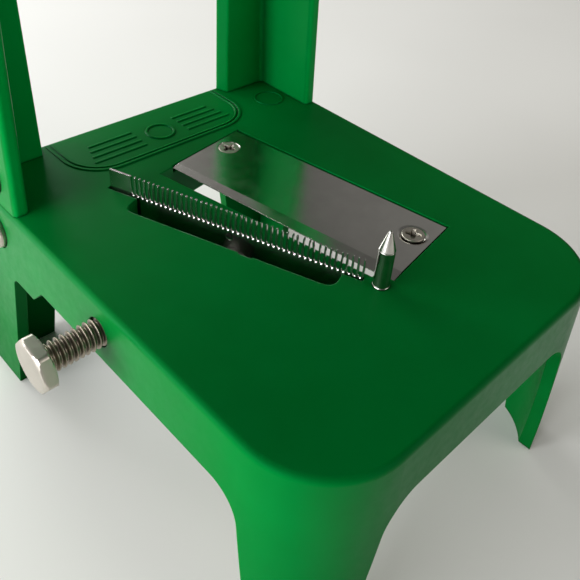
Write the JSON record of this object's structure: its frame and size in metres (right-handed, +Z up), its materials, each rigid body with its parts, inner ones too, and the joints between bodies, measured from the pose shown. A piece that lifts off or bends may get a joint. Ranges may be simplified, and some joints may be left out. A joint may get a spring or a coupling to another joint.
{
  "type": "vegetable dicer",
  "caption": "Hand-cranked upright vegetable slicer: four-legged table with a flush blade, a comb strip and a centre pin, and a spiked disc on a carriage that slides down two posts.",
  "frame": {"origin": "floor level, under the middle of the overall footprint; the spin axis of pin, disc and crank is 30.9 mm in front of it", "axes": "+X to the operator's right when facing the legs' front side, +Y to the back where the posts stand, +Z up along the spin axis"},
  "size_m": [0.1516, 0.1278, 0.2874],
  "materials": {
    "green_plastic": "satin moulded, fine texture",
    "blade_steel": "ground and polished stainless",
    "fastener_steel": "plain stainless",
    "brass_insert": "plain",
    "white_acetal": "smooth",
    "grip_rubber": "matt",
    "knob_plastic": "matt"
  },
  "bodies": {
    "base": {"base_table": "green_plastic", "left_upright": "green_plastic", "right_upright": "green_plastic", "top_bridge": "green_plastic", "bridge_screws": "fastener_steel", "upright_screws": "fastener_steel", "upright_nuts": "fastener_steel", "flange_screws": "fastener_steel", "blade_plate": "blade_steel", "blade_screws": "fastener_steel", "blade_inserts": "brass_insert", "centre_pin": "fastener_steel", "centre_pin_nut": "fastener_steel", "clamp_insert": "brass_insert"},
    "comb": {"comb_strip": "blade_steel"},
    "clamp_pad": {"clamp_pad": "fastener_steel"},
    "clamp_bolt": {"clamp_bolt": "fastener_steel"},
    "carriage": {"carriage_frame": "green_plastic", "guide_shoes": "white_acetal", "shoe_screws": "fastener_steel", "press_grips": "grip_rubber", "hub_bush_lower": "white_acetal", "hub_bush_upper": "white_acetal"},
    "crank": {"drive_shaft": "fastener_steel", "spike_disc": "green_plastic", "disc_spikes": "fastener_steel", "disc_screw": "fastener_steel", "thrust_washer": "white_acetal", "shaft_collar": "fastener_steel", "crank_arm": "green_plastic", "crank_washer": "fastener_steel", "crank_nut": "fastener_steel", "knob_pin": "fastener_steel", "knob_washer": "white_acetal"},
    "knob": {"crank_knob": "knob_plastic"}
  },
  "joints": [
    {"name": "comb_lift", "type": "slide", "parent": "base", "child": "comb", "axis": [0, 0, 1], "range_m": [-0.0056, 0]},
    {"name": "clamp_travel", "type": "slide", "parent": "base", "child": "clamp_pad", "axis": [1, 0, 0], "range_m": [-0.003, 0]},
    {"name": "clamp_turn", "type": "hinge", "parent": "clamp_pad", "child": "clamp_bolt", "pos_m": [-0.05, 0.0019, 0.053], "axis": [1, 0, 0], "range_deg": [-850.5, 0]},
    {"name": "carriage_slide", "type": "slide", "parent": "base", "child": "carriage", "axis": [0, 0, 1], "range_m": [-0.112, 0]},
    {"name": "crank_spin", "type": "hinge", "parent": "carriage", "child": "crank", "pos_m": [0, -0.0309, 0.22], "axis": [0, 0, 1], "continuous": true},
    {"name": "knob_spin", "type": "hinge", "parent": "crank", "child": "knob", "pos_m": [0.052, -0.0309, 0.27], "axis": [0, 0, 1], "continuous": true}
  ],
  "couplings": [
    {"joint": "clamp_turn", "follows": "clamp_travel", "rad_per_m": 4947.4}
  ]
}
